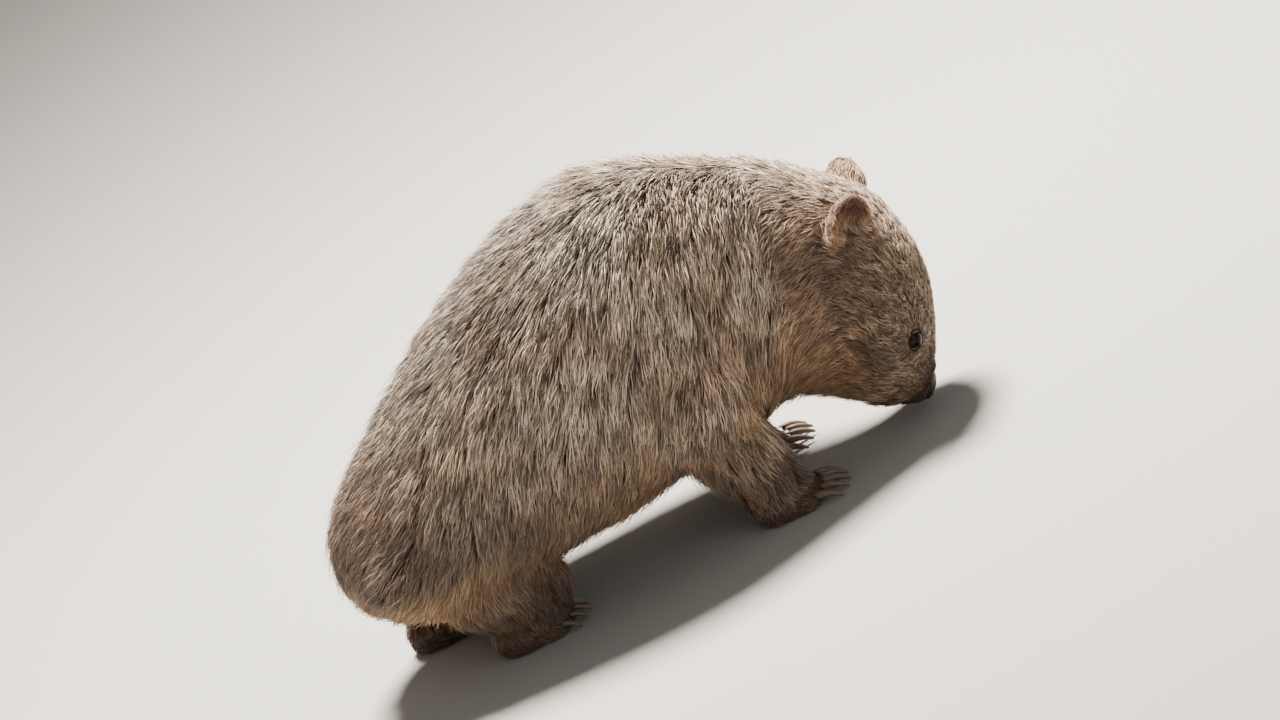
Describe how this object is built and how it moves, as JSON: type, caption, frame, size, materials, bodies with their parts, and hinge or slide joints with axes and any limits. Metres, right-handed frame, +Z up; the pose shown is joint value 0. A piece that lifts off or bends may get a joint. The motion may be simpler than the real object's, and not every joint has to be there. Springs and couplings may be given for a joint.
{
  "type": "common wombat, standing with lowered head",
  "caption": "Life-size still model of a common wombat standing on all fours with its head lowered to graze, in a coarse brown-grey coat.",
  "frame": {"origin": "on the floor, under the middle of the animal's bounding box", "axes": "+X from the rump to the head, +Y to the animal's left, +Z up"},
  "size_m": [0.623, 0.3012, 0.3536],
  "materials": {
    "body_coat": "coarse matt fur, brown-grey with silver and buff tips",
    "head_coat": "short matt fur, warm brown",
    "leg_coat": "short matt fur, dark warm brown",
    "foot_coat": "short matt fur over bare pads",
    "ear_coat": "short soft fur, pale rim and dark bare inside",
    "nose_skin": "bare granular skin, slightly moist",
    "eye": "wet gloss, almost black brown",
    "claw_horn": "satin horn"
  },
  "bodies": {
    "root": {"ear_left": "ear_coat", "ear_right": "ear_coat", "eye_left": "eye", "eye_right": "eye", "forefoot_left": "foot_coat", "forefoot_left_claw_1": "claw_horn", "forefoot_left_claw_2": "claw_horn", "forefoot_left_claw_3": "claw_horn", "forefoot_left_claw_4": "claw_horn", "forefoot_left_claw_5": "claw_horn", "forefoot_right": "foot_coat", "forefoot_right_claw_1": "claw_horn", "forefoot_right_claw_2": "claw_horn", "forefoot_right_claw_3": "claw_horn", "forefoot_right_claw_4": "claw_horn", "forefoot_right_claw_5": "claw_horn", "foreleg_left": "leg_coat", "foreleg_right": "leg_coat", "head": "head_coat", "hindfoot_left": "foot_coat", "hindfoot_left_claw_1": "claw_horn", "hindfoot_left_claw_2": "claw_horn", "hindfoot_left_claw_3": "claw_horn", "hindfoot_left_claw_4": "claw_horn", "hindfoot_right": "foot_coat", "hindfoot_right_claw_1": "claw_horn", "hindfoot_right_claw_2": "claw_horn", "hindfoot_right_claw_3": "claw_horn", "hindfoot_right_claw_4": "claw_horn", "hindleg_left": "leg_coat", "hindleg_right": "leg_coat", "neck": "body_coat", "nose_pad": "nose_skin", "tail": "body_coat", "torso": "body_coat"}
  },
  "joints": []
}
